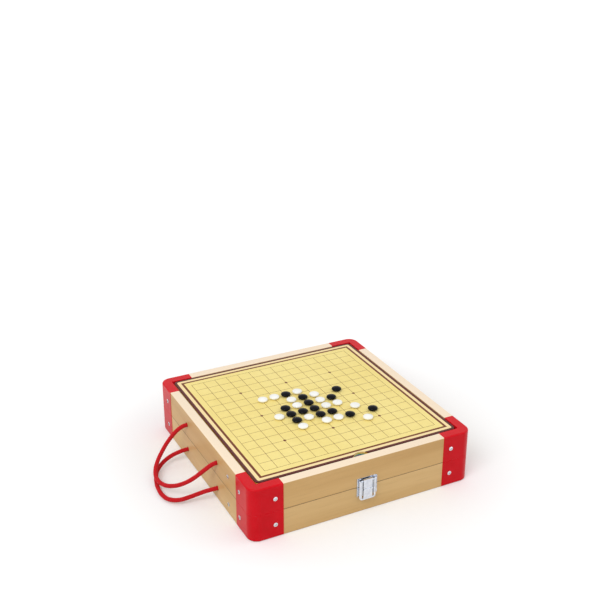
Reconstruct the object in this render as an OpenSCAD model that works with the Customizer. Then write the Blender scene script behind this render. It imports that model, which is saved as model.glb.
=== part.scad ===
// Wooden games case: two hinged halves, with a stack of thin game boards in the recess of the lid.
// The origin is the middle of the case on the table, +X runs right along the front,
// +Y runs to the hinges at the back and +Z is up. All sizes are in millimetres.

/* [Case] */
// Width over the wooden walls
case_w = 300; // [270:5:360]
// Depth over the wooden walls
case_d = 300; // [270:5:360]
// Height of each half
half_h = 35; // [35:1:44]
// Thickness of the wooden walls
wall_t = 12.5; // [12:0.5:15]
// Rounding along the outer rims of the walls
rim_r = 1.2; // [0.6:0.2:2]
// Rounding along the seam between the halves
seam_r = 0.4; // [0.2:0.1:0.8]

/* [Corner blocks] */
// Length of each arm of a corner block
corner_arm = 41; // [36:1:50]
// How far the blocks stand out from the wooden walls
corner_proud = 0.5; // [0.2:0.1:1]
// Rounding along the outer rim of a block
corner_edge_r = 1.8; // [0.8:0.2:2.6]
// Thickness of the tenons at the ends of the walls
tenon_t = 6; // [5:0.5:7]
// Length of the tenons
tenon_len = 16; // [14:1:20]
// Shoulder above and below a tenon
tenon_shoulder = 6; // [4:1:8]
// Free space round a tenon in its mortise
tenon_gap = 0.1; // [0.05:0.05:0.3]

/* [Screws] */
// Radius of the corner screws' pan heads
screw_head_r = 2.7; // [2.2:0.1:3.2]
// Height of the pan heads
screw_head_h = 1; // [0.8:0.1:1.3]
// Radius of the corner screws' shanks
screw_r = 1.4; // [1:0.1:1.8]
// Length of the corner screws
screw_len = 9; // [8:0.5:9.5]
// Distance of a corner screw from the end of its arm
screw_from_end = 10.5; // [9:0.5:12]
// Free space round a screw in its hole
screw_gap = 0.05; // [0.02:0.01:0.1]

/* [Panels] */
// Thickness of the plywood panels
panel_t = 3; // [2.5:0.5:4]
// Depth of the grooves that hold the panels
groove_d = 5; // [4:0.5:5.5]
// Free space between a panel and its groove
panel_gap = 0.1; // [0.05:0.05:0.3]
// Height of the bottom panel above the table
floor_gap = 3; // [2:0.5:4]
// Depth of the recess for the boards, from the rim to the fixed board
recess_depth = 8; // [7.8:0.1:9]
// Thickness of the fixed board with the river game
river_board_t = 2; // [1.5:0.5:3]
// Gap between the fixed board and the walls
river_board_gap = 1; // [0.5:0.25:1.5]

/* [Loose boards] */
// Thickness of a board
board_t = 1.4; // [1.2:0.1:1.4]
// Air between two stacked boards
board_air = 0.1; // [0.08:0.01:0.14]
// Gap between the boards and the walls
board_side_gap = 1.5; // [1:0.25:2.5]
// Rounding of the boards' corners
board_corner_r = 6; // [4:1:10]
// Width of the finger notch in the front edge
notch_w = 21; // [16:1:32]
// Depth of the finger notch
notch_d = 6; // [4:0.5:8]

/* [Stones] */
// Distance of the outermost line from the edge of the line board
grid_margin = 19; // [16:0.5:21]
// Diameter of a stone
stone_d = 13; // [11:0.5:14]
// Height of a stone
stone_h = 5.6; // [4.6:0.2:6.4]
// Rounding of a stone's rim
stone_rim_r = 1.5; // [1:0.1:1.8]

/* [Tray] */
// Distance of the long dividers' middle from the front of the case
divider_from_front = 65; // [60:1:75]
// Thickness of the long dividers
divider_t = 6; // [5:0.5:8]
// Gap between a divider's free edge and the seam
divider_gap = 1; // [0.5:0.5:3]
// Thickness of the short partitions
partition_t = 4; // [3:0.5:5]
// Height of the lower divider's screws above the table
lower_divider_screw_z = 14; // [12:1:18]
// Distance of the upper divider's screws from the rim of the lid
upper_divider_screw_from_rim = 17; // [17:1:20]
// Length of the divider screws
divider_screw_len = 26; // [20:1:32]

/* [Hinges] */
// Distance of a hinge from the nearer corner block
hinge_from_corner = 6; // [3:1:20]
// Width of a hinge
hinge_w = 36; // [30:2:36]
// Height of one leaf
hinge_leaf_h = 15; // [12:1:17]
// Thickness of a leaf
hinge_leaf_t = 1.2; // [1:0.1:1.4]
// Radius of the knuckles
knuckle_r = 2.65; // [2.4:0.05:3]
// Radius of the hinge pins
hinge_pin_r = 1.4; // [1.2:0.05:1.5]
// Free space round a pin in its knuckle
pin_gap = 0.05; // [0.02:0.01:0.1]
// Distance between the knuckles and the wood behind them
knuckle_air = 0.3; // [0.25:0.05:0.5]
// Free space between two knuckles, along the pin
knuckle_end_gap = 0.15; // [0.1:0.05:0.3]

/* [Latch] */
// Width of the latch lever
lever_w = 22.8; // [21:0.2:24]
// Thickness of the latch's sheet metal
sheet_t = 0.7; // [0.6:0.05:0.8]
// Height of the lever's lower end above the table
lever_low_z = 18.5; // [17:0.5:20]
// Height of the lever's pivot above the seam
lever_pivot_up = 8.3; // [8:0.1:9]
// Distance of the lever's pivot from the wood
lever_pivot_out = 2.7; // [2.6:0.05:2.9]
// How far the sheet of the lever stands out from the wood
lever_out = 4.7; // [4.6:0.05:5]
// Width of the middle tongue and of the strap
tongue_w = 12.2; // [11:0.2:12.6]
// Width of the slots beside the tongue
lever_slot_w = 2.1; // [1.8:0.1:2.4]
// Height of the strap's pivot below the seam
strap_pivot_down = 2.5; // [2:0.1:3.5]
// Radius of the strap's knuckles
strap_knuckle_r = 0.9; // [0.8:0.05:1]
// Radius of the strap's pin
strap_pin_r = 0.4; // [0.35:0.01:0.45]
// Width of the latch's base and strike plates
latch_plate_w = 27.2; // [26:0.2:29]
// Height of the base plate and of the strike plate
latch_plate_h = 12; // [11.5:0.5:13]

/* [Rope handles] */
// Diameter of the ropes
rope_d = 6; // [5:0.1:6.2]
// Height of the lower rope's holes above the table
lower_rope_z = 16; // [14:0.5:18]
// Distance of the upper rope's holes from the rim of the lid
upper_rope_from_rim = 18; // [18:0.5:20]
// Free space round a rope in its hole
rope_gap = 0.4; // [0.2:0.1:0.8]
// Radius of the stopper knots
knot_r = 4.6; // [4:0.1:4.8]

/* [Playing pieces] */
// Diameter of the flat wooden discs
disc_d = 24; // [20:1:26]
// Height of a disc
disc_h = 8; // [6:0.5:9]
// Distance between the discs
disc_pitch = 27; // [26.5:0.5:28]
// Diameter of a pawn's foot
pawn_d = 12; // [10:0.5:13]
// Height of a pawn
pawn_h = 22; // [18:1:24]
// Distance between the pawns
pawn_pitch = 14.5; // [14:0.5:15]
// Edge length of a dice
dice_w = 14; // [12:0.5:16]

/* [Hidden] */
$fn = 48;
cut = 1;

wood = "burlywood";
red = "crimson";
metal = "silver";

case_h = 2 * half_h;
inner_w = case_w - 2 * wall_t;
inner_d = case_d - 2 * wall_t;
front_y = -case_d / 2;
back_y = case_d / 2;
tenon_y = (wall_t - tenon_t) / 2;
tenon_h = half_h - 2 * tenon_shoulder;
corner_t = wall_t + corner_proud;

// Heights of the panels, each counted from the rim of its own half
lid_panel_from_rim = recess_depth + river_board_t;
river_top_z = case_h - recess_depth;
floor_z = floor_gap + panel_t;
upper_divider_screw_z = case_h - upper_divider_screw_from_rim;
board_pitch = board_t + board_air;
boards_top_z = river_top_z + 5 * board_pitch;
board_w = inner_w - 2 * board_side_gap;
board_d = inner_d - 2 * board_side_gap;

// The line board: 15 lines each way, with the stones on their crossings
lines = 15;
line_pitch_x = (board_w - 2 * grid_margin) / (lines - 1);
line_pitch_y = (board_d - 2 * grid_margin) / (lines - 1);
black_stones = [[-1, 2], [0, 1], [3, 1], [-2, 0], [0, 0], [2, 0], [-2, -1], [-1, -1], [0, -1],
    [-2, -2], [0, -2], [1, -2], [2, -3], [4, -3]];
white_stones = [[-3, 2], [-2, 2], [0, 2], [-1, 1], [1, 1], [-1, 0], [1, 0], [-3, -1], [1, -1], [2, -1],
    [-1, -2], [3, -2], [-2, -3], [0, -3], [1, -3], [3, -4]];

// Compartments: a row of four bays in front of the long divider
bay_pitch = inner_w / 4;
divider_y = front_y + divider_from_front;
divider_front_y = divider_y - divider_t / 2;
divider_back_y = divider_y + divider_t / 2;
front_bay_y = front_y + wall_t;
front_bay_d = divider_front_y - front_bay_y;

hinge_x = case_w / 2 - corner_arm - hinge_from_corner - hinge_w / 2;
hinge_y = back_y + knuckle_air + knuckle_r;
knuckle_w = hinge_w / 3;
hinge_pin_head_t = 0.5;
hinge_pin_head_over = 0.4;
hinge_screw_head_r = 2.1;
hinge_screw_head_h = 0.8;
hinge_screw_r = 1.1;
hinge_screw_len = 9;
hinge_screw_x = hinge_w / 3;
hinge_screw_z = 8.5;

lever_pivot_z = half_h + lever_pivot_up;
lever_pivot_y = front_y - lever_pivot_out;
lever_face_y = front_y - lever_out;
lever_front_above_pivot = 0.5;
lever_top_z = lever_pivot_z + lever_front_above_pivot;
lever_corner_r = 4.5;
lever_end_bar = 2.4;
lever_fold_r = 1.5;
strap_pivot_z = half_h - strap_pivot_down;
strap_half_knuckle_w = 3;
strap_end_gap = 0.15;
strap_fold_clear = 0.2;
strap_below_plate = 1;
strap_top_z = half_h + latch_plate_h - strap_below_plate;
hook_out = 2.7;
hook_gap = 0.3;
hook_w = 10.6;
hook_down = 4;
hook_top_down = 0.4;
ear_x = 7;
ear_top_r = 1.6;
lever_back_out = lever_pivot_out - ear_top_r;
ear_back_out = 1;
ear_root_down = 10.5;
ear_neck_down = 2;
rivet_r = 0.8;
rivet_head_r = 1.3;
rivet_head_t = 0.5;
plate_fold_out = 2.2;
latch_screw_head_r = 1.6;
latch_screw_head_h = 0.6;
latch_screw_r = 0.9;
latch_screw_len = 8;
latch_screw_x = 3.4;
base_screw_down = 6.5;
base_screw_z = half_h - base_screw_down;
strike_screw_up = 3.5;
strike_screw_z = half_h + strike_screw_up;

// The ropes leave the left walls this far from the middle. The routes are counted from the outer
// face of the wall and run from the back hole to the front one, and each is stretched upward from
// its lowest point to the height of its holes
upper_rope_z = case_h - upper_rope_from_rim;
rope_hole_y = 50;
rope_sides = 10;
lower_rope_route = [
    [0, 50, 16], [-6, 50.3, 15.6], [-13, 51, 14.2], [-21, 51.2, 12.1], [-29, 49.6, 9.9], [-36.6, 46, 7.8],
    [-43.4, 40.6, 6.1], [-49.2, 33, 4.8], [-53.6, 23.4, 3.9], [-57, 12, 3.4], [-59, 0, 3.3],
    [-59.6, -13, 3.4], [-57.4, -25, 3.8], [-51.8, -34.2, 4.8], [-43.6, -39.8, 6.4], [-34.2, -42.4, 8.6],
    [-24.8, -44.2, 10.9], [-15.8, -46, 13.1], [-7.6, -48.6, 15.1], [0, -50, 16]
];
upper_rope_route = [
    [0, 50, 52], [-5, 50.5, 51.2], [-9.6, 51.5, 48.6], [-13.8, 52.8, 44.8], [-18.2, 53.8, 40],
    [-23.2, 54, 34.6], [-29.2, 52.2, 29], [-35.8, 48.2, 23.4], [-42.2, 42.8, 18.6], [-48, 35.8, 14.8],
    [-52.8, 27, 12.1], [-55.8, 17, 10.6], [-56.6, 6, 10.4], [-54.8, -4.8, 11.1], [-50.8, -14.6, 13.1],
    [-44.6, -23.2, 16.6], [-37.8, -30.4, 21.4], [-31, -36, 27], [-24.4, -40.2, 33], [-18.2, -43.6, 39.2],
    [-12.4, -46.6, 45], [-6.4, -49, 50], [0, -50, 52]
];

disc_columns = 8;
disc_back_gap = 12;
disc_first_y = back_y - wall_t - disc_back_gap - disc_d / 2;
pawn_bay_x = [-1.5 * bay_pitch, -0.5 * bay_pitch];
pawn_wall_gap = 1;
pawn_back_y = divider_front_y - pawn_wall_gap - pawn_d / 2;
pawn_row_y = [pawn_back_y, pawn_back_y - pawn_pitch];
pawn_head_r = 3.7;
pawn_foot_h = 3;
pawn_foot_edge_r = 0.5;
pawn_foot_step = 1.6;
pawn_neck_r = 2;
disc_edge_r = 1;
disc_ring_r = 8.6;
disc_ring_w = 1;
disc_ring_d = 0.5;

// Places: a wall or a block is made at the front or front left corner and set round the case

module at_front() {
    translate([0, front_y, 0]) children();
}

module at_back() {
    mirror([0, 1, 0]) at_front() children();
}

module at_left() {
    translate([-case_w / 2, 0, 0]) rotate([0, 0, -90]) children();
}

module at_right() {
    mirror([1, 0, 0]) at_left() children();
}

module at_corner(right, back) {
    if (right) mirror([1, 0, 0]) at_corner(false, back) children();
    else if (back) mirror([0, 1, 0]) at_corner(false, false) children();
    else translate([-case_w / 2, front_y, 0]) children();
}

module in_lid() {
    translate([0, 0, case_h]) mirror([0, 0, 1]) children();
}

// Flat shapes

module corner_waste(r) {
    if (r > 0) difference() {
        square(r);
        translate([r, r]) circle(r);
    }
}

module soft_rect(w, h, low_left, low_right, top_right, top_left) {
    difference() {
        square([w, h]);
        corner_waste(low_left);
        translate([w, 0]) mirror([1, 0]) corner_waste(low_right);
        translate([w, h]) rotate(180) corner_waste(top_right);
        translate([0, h]) mirror([0, 1]) corner_waste(top_left);
    }
}

module round_rect(w, d, r) {
    translate([-w / 2, -d / 2]) soft_rect(w, d, r, r, r, r);
}

// Screws point down, with the underside of the head at the origin

module pan_screw(head_r, head_h, shank_r, len) {
    slot_w = 0.34 * head_r;
    slot_l = 1.2 * head_r;
    slot_d = 0.7 * head_h;
    dome_r = (head_r * head_r + head_h * head_h) / head_h;
    difference() {
        intersection() {
            cylinder(h = head_h, r = head_r);
            translate([0, 0, head_h - dome_r]) sphere(dome_r);
        }
        for (turn = [0, 90]) {
            rotate(turn) translate([-slot_l / 2, -slot_w / 2, head_h - slot_d]) cube([slot_l, slot_w, head_h]);
        }
    }
    translate([0, 0, -len]) cylinder(h = len, r = shank_r);
}

module screw_bore(shank_r, len) {
    translate([0, 0, -len - screw_gap]) cylinder(h = len + screw_gap + cut, r = shank_r + screw_gap);
}

// Walls, made as the front one: outer face on the XZ plane, rim down on the table

module panel_space(from_rim) {
    space_w = inner_w + 2 * groove_d;
    space_d = inner_d + 2 * groove_d;
    translate([-space_w / 2, -space_d / 2, from_rim - panel_gap]) cube([space_w, space_d, panel_t + 2 * panel_gap]);
}

module tenon(grow) {
    translate([-cut, tenon_y - grow, tenon_shoulder - grow])
        cube([tenon_len + cut + grow, tenon_t + 2 * grow, tenon_h + 2 * grow]);
}

module wall_stock(len) {
    translate([-len / 2, 0, 0]) rotate([90, 0, 90])
        linear_extrude(len) soft_rect(wall_t, half_h, rim_r, rim_r, seam_r, seam_r);
    translate([len / 2, 0, 0]) tenon(0);
    mirror([1, 0, 0]) translate([len / 2, 0, 0]) tenon(0);
}

module wall(len) {
    difference() {
        wall_stock(len);
        for (side = [-1, 1]) {
            translate([side * (len / 2 + screw_from_end), -corner_proud, half_h / 2])
                rotate([90, 0, 0]) screw_bore(screw_r, screw_len);
        }
    }
}

module long_wall() {
    wall(case_w - 2 * corner_arm);
}

module side_wall() {
    wall(case_d - 2 * corner_arm);
}

// Corner blocks, made as the front left one: the wood's outer faces would meet on the Z axis

module corner_section(inner_r) {
    soft_rect(corner_t, half_h, corner_edge_r, inner_r, inner_r, seam_r);
}

module corner_arm_stock() {
    translate([wall_t, -corner_proud, 0]) rotate([90, 0, 90])
        linear_extrude(corner_arm - wall_t) corner_section(seam_r);
}

module corner_arm_cuts() {
    translate([corner_arm, 0, 0]) mirror([1, 0, 0]) tenon(tenon_gap);
    translate([corner_arm - screw_from_end, -corner_proud, half_h / 2])
        rotate([90, 0, 0]) screw_bore(screw_r, screw_len);
}

module corner_block() {
    color(red) difference() {
        union() {
            corner_arm_stock();
            mirror([1, -1, 0]) corner_arm_stock();
            translate([wall_t, wall_t, 0]) rotate(180) rotate_extrude(angle = 90)
                soft_rect(corner_t, half_h, 0, corner_edge_r, seam_r, 0);
        }
        corner_arm_cuts();
        mirror([1, -1, 0]) corner_arm_cuts();
    }
}

module lower_corner(right, back) {
    difference() {
        at_corner(right, back) corner_block();
        panel_space(floor_gap);
    }
}

module upper_corner(right, back) {
    in_lid() difference() {
        at_corner(right, back) corner_block();
        panel_space(lid_panel_from_rim);
    }
}

module corner_screw_pair() {
    translate([corner_arm - screw_from_end, -corner_proud, half_h / 2])
        rotate([90, 0, 0]) pan_screw(screw_head_r, screw_head_h, screw_r, screw_len);
}

module corner_screws() {
    color(metal) for (right = [false, true], back = [false, true]) {
        at_corner(right, back) {
            corner_screw_pair();
            mirror([1, -1, 0]) corner_screw_pair();
        }
    }
}

// Cutters in the frame of the whole case

module at_divider_screws(z) {
    for (side = [0, 1]) {
        mirror([side, 0, 0]) translate([-case_w / 2, divider_y, z]) rotate([0, -90, 0]) children();
    }
}

module rope_bores(z) {
    for (side = [-1, 1]) {
        translate([-case_w / 2 - cut, side * rope_hole_y, z])
            rotate([0, 90, 0]) cylinder(h = wall_t + 2 * cut, r = rope_d / 2 + rope_gap);
    }
}

module at_hinge_screws(z) {
    for (middle = [-hinge_x, hinge_x], side = [-1, 1]) {
        translate([middle + side * hinge_screw_x, back_y + hinge_leaf_t, z]) rotate([-90, 0, 0]) children();
    }
}

module at_latch_screws(z) {
    for (side = [-1, 1]) {
        translate([side * latch_screw_x, front_y - sheet_t, z]) rotate([90, 0, 0]) children();
    }
}

// Lower half

module lower_front_wall() {
    color(wood) difference() {
        at_front() long_wall();
        panel_space(floor_gap);
        at_latch_screws(base_screw_z) screw_bore(latch_screw_r, latch_screw_len);
    }
}

module lower_back_wall() {
    color(wood) difference() {
        at_back() long_wall();
        panel_space(floor_gap);
        at_hinge_screws(half_h - hinge_screw_z) screw_bore(hinge_screw_r, hinge_screw_len);
    }
}

module lower_left_wall() {
    color(wood) difference() {
        at_left() side_wall();
        panel_space(floor_gap);
        rope_bores(lower_rope_z);
        at_divider_screws(lower_divider_screw_z) screw_bore(screw_r, divider_screw_len);
    }
}

module lower_right_wall() {
    color(wood) difference() {
        at_right() side_wall();
        panel_space(floor_gap);
        at_divider_screws(lower_divider_screw_z) screw_bore(screw_r, divider_screw_len);
    }
}

module panel(from_rim) {
    reach = groove_d - 2 * panel_gap;
    panel_w = inner_w + 2 * reach;
    panel_d = inner_d + 2 * reach;
    translate([-panel_w / 2, -panel_d / 2, from_rim]) cube([panel_w, panel_d, panel_t]);
}

module bottom_panel() {
    color("wheat") panel(floor_gap);
}

module divider(low_z, high_z, screw_z) {
    color(wood) difference() {
        translate([-inner_w / 2, divider_front_y, low_z]) cube([inner_w, divider_t, high_z - low_z]);
        at_divider_screws(screw_z) screw_bore(screw_r, divider_screw_len);
    }
}

module lower_divider() {
    divider(floor_z, half_h - divider_gap, lower_divider_screw_z);
}

module tray_partitions() {
    color(wood) for (place = [-1, 0, 1]) {
        translate([place * bay_pitch - partition_t / 2, front_bay_y, floor_z])
            cube([partition_t, front_bay_d, half_h - divider_gap - floor_z]);
    }
}

module divider_screws(z) {
    color(metal) at_divider_screws(z) pan_screw(screw_head_r, screw_head_h, screw_r, divider_screw_len);
}

// Upper half

module upper_front_wall() {
    color(wood) difference() {
        in_lid() difference() {
            at_front() long_wall();
            panel_space(lid_panel_from_rim);
        }
        at_latch_screws(strike_screw_z) screw_bore(latch_screw_r, latch_screw_len);
    }
}

module upper_back_wall() {
    color(wood) difference() {
        in_lid() difference() {
            at_back() long_wall();
            panel_space(lid_panel_from_rim);
        }
        at_hinge_screws(half_h + hinge_screw_z) screw_bore(hinge_screw_r, hinge_screw_len);
    }
}

module upper_left_wall() {
    color(wood) difference() {
        in_lid() difference() {
            at_left() side_wall();
            panel_space(lid_panel_from_rim);
        }
        rope_bores(upper_rope_z);
        at_divider_screws(upper_divider_screw_z) screw_bore(screw_r, divider_screw_len);
    }
}

module upper_right_wall() {
    color(wood) difference() {
        in_lid() difference() {
            at_right() side_wall();
            panel_space(lid_panel_from_rim);
        }
        at_divider_screws(upper_divider_screw_z) screw_bore(screw_r, divider_screw_len);
    }
}

module lid_panel() {
    color("wheat") in_lid() panel(lid_panel_from_rim);
}

module river_board() {
    color("tan") translate([0, 0, river_top_z - river_board_t]) linear_extrude(river_board_t)
        round_rect(inner_w - 2 * river_board_gap, inner_d - 2 * river_board_gap, river_board_gap);
}

module upper_divider() {
    divider(half_h + divider_gap, case_h - lid_panel_from_rim - panel_t, upper_divider_screw_z);
}

// Hinges: three knuckles on one pin, the middle one on the upper leaf

module knuckle(from_x, to_x, root_z) {
    // A rolled knuckle and the strip that joins it to its own leaf, upward from the root's height
    difference() {
        union() {
            translate([from_x, hinge_y, half_h]) rotate([0, 90, 0]) cylinder(h = to_x - from_x, r = knuckle_r);
            translate([from_x, back_y, root_z]) cube([to_x - from_x, hinge_leaf_t, knuckle_r]);
        }
        translate([from_x - cut, hinge_y, half_h])
            rotate([0, 90, 0]) cylinder(h = to_x - from_x + 2 * cut, r = hinge_pin_r + pin_gap);
    }
}

module leaf_plate(low_z) {
    translate([-hinge_w / 2, back_y, low_z]) cube([hinge_w, hinge_leaf_t, hinge_leaf_h - knuckle_r]);
}

module hinge_leaves_lower() {
    color(metal) for (middle = [-hinge_x, hinge_x]) {
        translate([middle, 0, 0]) difference() {
            union() {
                leaf_plate(half_h - hinge_leaf_h);
                knuckle(-hinge_w / 2, -knuckle_w / 2 - knuckle_end_gap, half_h - knuckle_r);
                knuckle(knuckle_w / 2 + knuckle_end_gap, hinge_w / 2, half_h - knuckle_r);
            }
            translate([-middle, 0, 0]) at_hinge_screws(half_h - hinge_screw_z)
                screw_bore(hinge_screw_r, hinge_screw_len);
        }
    }
}

module hinge_leaves_upper() {
    color(metal) for (middle = [-hinge_x, hinge_x]) {
        translate([middle, 0, 0]) difference() {
            union() {
                leaf_plate(half_h + knuckle_r);
                knuckle(-knuckle_w / 2, knuckle_w / 2, half_h);
            }
            translate([-middle, 0, 0]) at_hinge_screws(half_h + hinge_screw_z)
                screw_bore(hinge_screw_r, hinge_screw_len);
        }
    }
}

module hinge_pins() {
    head_r = hinge_pin_r + hinge_pin_head_over;
    color(metal) for (middle = [-hinge_x, hinge_x]) {
        translate([middle - hinge_w / 2, hinge_y, half_h]) rotate([0, 90, 0]) {
            cylinder(h = hinge_w, r = hinge_pin_r);
            translate([0, 0, -hinge_pin_head_t]) cylinder(h = hinge_pin_head_t, r = head_r);
            translate([0, 0, hinge_w]) cylinder(h = hinge_pin_head_t, r = head_r);
        }
    }
}

module hinge_screws(z) {
    color(metal) at_hinge_screws(z)
        pan_screw(hinge_screw_head_r, hinge_screw_head_h, hinge_screw_r, hinge_screw_len);
}

// Latch: a lever on the lower half's base, with a hinged strap that reaches up to the lid's strike

module latch_plate(low_z) {
    translate([-latch_plate_w / 2, front_y - sheet_t, low_z]) cube([latch_plate_w, sheet_t, latch_plate_h - seam_r]);
    for (side = [0, 1]) {
        mirror([side, 0, 0]) translate([-latch_plate_w / 2, front_y - plate_fold_out, low_z])
            cube([sheet_t, plate_fold_out, latch_plate_h - seam_r]);
    }
}

module base_ear() {
    ear_low_z = half_h - ear_root_down;
    translate([ear_x, 0, 0]) difference() {
        union() {
            translate([0, front_y - lever_pivot_out - ear_top_r, ear_low_z])
                cube([sheet_t, lever_pivot_out + ear_top_r - sheet_t, half_h - seam_r - ear_low_z]);
            translate([0, front_y - lever_pivot_out - ear_top_r, half_h - ear_neck_down])
                cube([sheet_t, lever_pivot_out + ear_top_r - ear_back_out, lever_pivot_up + ear_neck_down]);
            translate([0, lever_pivot_y, lever_pivot_z]) rotate([0, 90, 0]) cylinder(h = sheet_t, r = ear_top_r);
        }
        translate([-cut, lever_pivot_y, lever_pivot_z])
            rotate([0, 90, 0]) cylinder(h = sheet_t + 2 * cut, r = rivet_r + pin_gap);
    }
}

module latch_base() {
    color(metal) difference() {
        union() {
            latch_plate(half_h - latch_plate_h);
            base_ear();
            mirror([1, 0, 0]) base_ear();
        }
        at_latch_screws(base_screw_z) screw_bore(latch_screw_r, latch_screw_len);
    }
}

module latch_screws(z) {
    color(metal) at_latch_screws(z)
        pan_screw(latch_screw_head_r, latch_screw_head_h, latch_screw_r, latch_screw_len);
}

module latch_rivets() {
    outer_x = lever_w / 2;
    color(metal) for (side = [0, 1]) {
        mirror([side, 0, 0]) translate([ear_x, lever_pivot_y, lever_pivot_z]) rotate([0, 90, 0]) {
            cylinder(h = outer_x - ear_x, r = rivet_r);
            translate([0, 0, -rivet_head_t]) cylinder(h = rivet_head_t, r = rivet_head_r);
            translate([0, 0, outer_x - ear_x]) cylinder(h = rivet_head_t, r = rivet_head_r);
        }
    }
}

module lever_channel() {
    // Folded sheet seen from above: a front and two side walls
    channel_d = lever_out - lever_back_out;
    inner_fold_r = lever_fold_r - sheet_t;
    translate([0, 0, lever_low_z]) linear_extrude(lever_pivot_z + ear_top_r - lever_low_z) difference() {
        translate([-lever_w / 2, lever_face_y]) soft_rect(lever_w, channel_d, lever_fold_r, lever_fold_r, 0, 0);
        translate([-lever_w / 2 + sheet_t, lever_face_y + sheet_t])
            soft_rect(lever_w - 2 * sheet_t, channel_d, inner_fold_r, inner_fold_r, 0, 0);
    }
}

module lever_front_outline() {
    // Front view of the lever, with its rounded lower corners
    side_h = lever_pivot_z + ear_top_r - lever_low_z;
    translate([-lever_w / 2, lever_low_z]) soft_rect(lever_w, side_h, lever_corner_r, lever_corner_r, 0, 0);
}

module lever_side_outline() {
    // Side view of the lever: its walls end round the pivot, and its front stops just above it
    translate([lever_face_y, lever_low_z]) square([lever_out - lever_back_out, lever_pivot_z - lever_low_z]);
    translate([lever_face_y, lever_low_z]) square([sheet_t, lever_top_z - lever_low_z]);
    translate([lever_pivot_y, lever_pivot_z]) circle(ear_top_r);
}

module lever_windows() {
    slot_x = tongue_w / 2;
    slot_low_z = lever_low_z + lever_end_bar;
    face_cut_y = lever_face_y - cut;
    for (side = [0, 1]) {
        mirror([side, 0, 0]) translate([slot_x, face_cut_y, slot_low_z])
            cube([lever_slot_w, sheet_t + 2 * cut, case_h]);
    }
    translate([-slot_x - cut, face_cut_y, strap_pivot_z - strap_knuckle_r - strap_fold_clear])
        cube([2 * slot_x + 2 * cut, sheet_t + 2 * cut, case_h]);
}

module strap_knuckle(from_x, to_x, low_z, high_z) {
    // A rolled knuckle on the strap's axis, with the sheet that joins it between two heights
    difference() {
        union() {
            translate([from_x, lever_face_y, strap_pivot_z])
                rotate([0, 90, 0]) cylinder(h = to_x - from_x, r = strap_knuckle_r);
            translate([from_x, lever_face_y, low_z]) cube([to_x - from_x, sheet_t, high_z - low_z]);
        }
        translate([from_x - cut, lever_face_y, strap_pivot_z])
            rotate([0, 90, 0]) cylinder(h = to_x - from_x + 2 * cut, r = strap_pin_r + pin_gap);
    }
}

module latch_lever() {
    color(metal) difference() {
        union() {
            difference() {
                intersection() {
                    lever_channel();
                    rotate([90, 0, 0]) linear_extrude(cut - lever_face_y) lever_front_outline();
                    translate([-lever_w, 0, 0]) rotate([90, 0, 90]) linear_extrude(2 * lever_w) lever_side_outline();
                }
                lever_windows();
            }
            for (side = [0, 1]) {
                mirror([side, 0, 0]) strap_knuckle(strap_half_knuckle_w + strap_end_gap, tongue_w / 2,
                    strap_pivot_z - 2 * strap_knuckle_r, strap_pivot_z);
            }
        }
        translate([-lever_w, lever_pivot_y, lever_pivot_z])
            rotate([0, 90, 0]) cylinder(h = 2 * lever_w, r = rivet_r + pin_gap);
    }
}

module latch_strap() {
    low_z = strap_pivot_z + strap_knuckle_r + strap_fold_clear;
    color(metal) union() {
        strap_knuckle(-strap_half_knuckle_w, strap_half_knuckle_w, strap_pivot_z, low_z + cut);
        translate([-tongue_w / 2, lever_face_y, low_z]) cube([tongue_w, sheet_t, strap_top_z - low_z]);
        translate([-tongue_w / 2, lever_face_y, strap_top_z - sheet_t])
            cube([tongue_w, lever_out - hook_out - hook_gap, sheet_t]);
    }
}

module latch_strap_pin() {
    color(metal) translate([-tongue_w / 2, lever_face_y, strap_pivot_z])
        rotate([0, 90, 0]) cylinder(h = tongue_w, r = strap_pin_r);
}

module latch_strike() {
    hook_low_z = strap_top_z - hook_down;
    hook_high_z = strap_top_z - hook_top_down;
    color(metal) difference() {
        union() {
            latch_plate(half_h + seam_r);
            translate([-hook_w / 2, front_y - hook_out, hook_low_z]) cube([hook_w, hook_out, sheet_t]);
            translate([-hook_w / 2, front_y - hook_out, hook_low_z]) cube([hook_w, sheet_t, hook_high_z - hook_low_z]);
        }
        at_latch_screws(strike_screw_z) screw_bore(latch_screw_r, latch_screw_len);
    }
}

// Rope handles: one tube along each route, its ends square on the knots inside the wall

function unit(v) = v / norm(v);

function rope_heading(route, i) =
    let (before = max(i - 1, 0), after = min(i + 1, len(route) - 1)) unit(route[after] - route[before]);

function rope_ring(route, i) =
    let (
        end = i == 0 || i == len(route) - 1,
        ahead = end ? [i == 0 ? -1 : 1, 0, 0] : rope_heading(route, i),
        side = unit(cross([0, 0, 1], ahead)),
        up = cross(ahead, side)
    )
    [for (k = [0 : rope_sides - 1])
        let (turn = 360 * (k + 0.5) / rope_sides)
        route[i] + rope_d / 2 * (cos(turn) * side + sin(turn) * up)];

module rope(outside, z) {
    low_z = min([for (p = outside) p[2]]);
    stretch = (z - low_z) / (outside[0][2] - low_z);
    hanging = [for (p = outside) [p[0], p[1], low_z + stretch * (p[2] - low_z)]];
    route = concat([[wall_t, rope_hole_y, z]], hanging, [[wall_t, -rope_hole_y, z]]);
    last = len(route) - 1;
    points = [for (i = [0 : last]) each rope_ring(route, i)];
    start_cap = [for (k = [1 : rope_sides - 2]) [0, k, k + 1]];
    end_cap = [for (k = [1 : rope_sides - 2])
        [last * rope_sides, last * rope_sides + k + 1, last * rope_sides + k]];
    skin = [for (i = [0 : last - 1], k = [0 : rope_sides - 1])
        let (
            a = i * rope_sides + k,
            b = i * rope_sides + (k + 1) % rope_sides,
            c = a + rope_sides,
            d = b + rope_sides
        )
        each [[a, c, b], [b, c, d]]];
    color(red) translate([-case_w / 2, 0, 0]) polyhedron(points, concat(start_cap, skin, end_cap));
}

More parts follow.
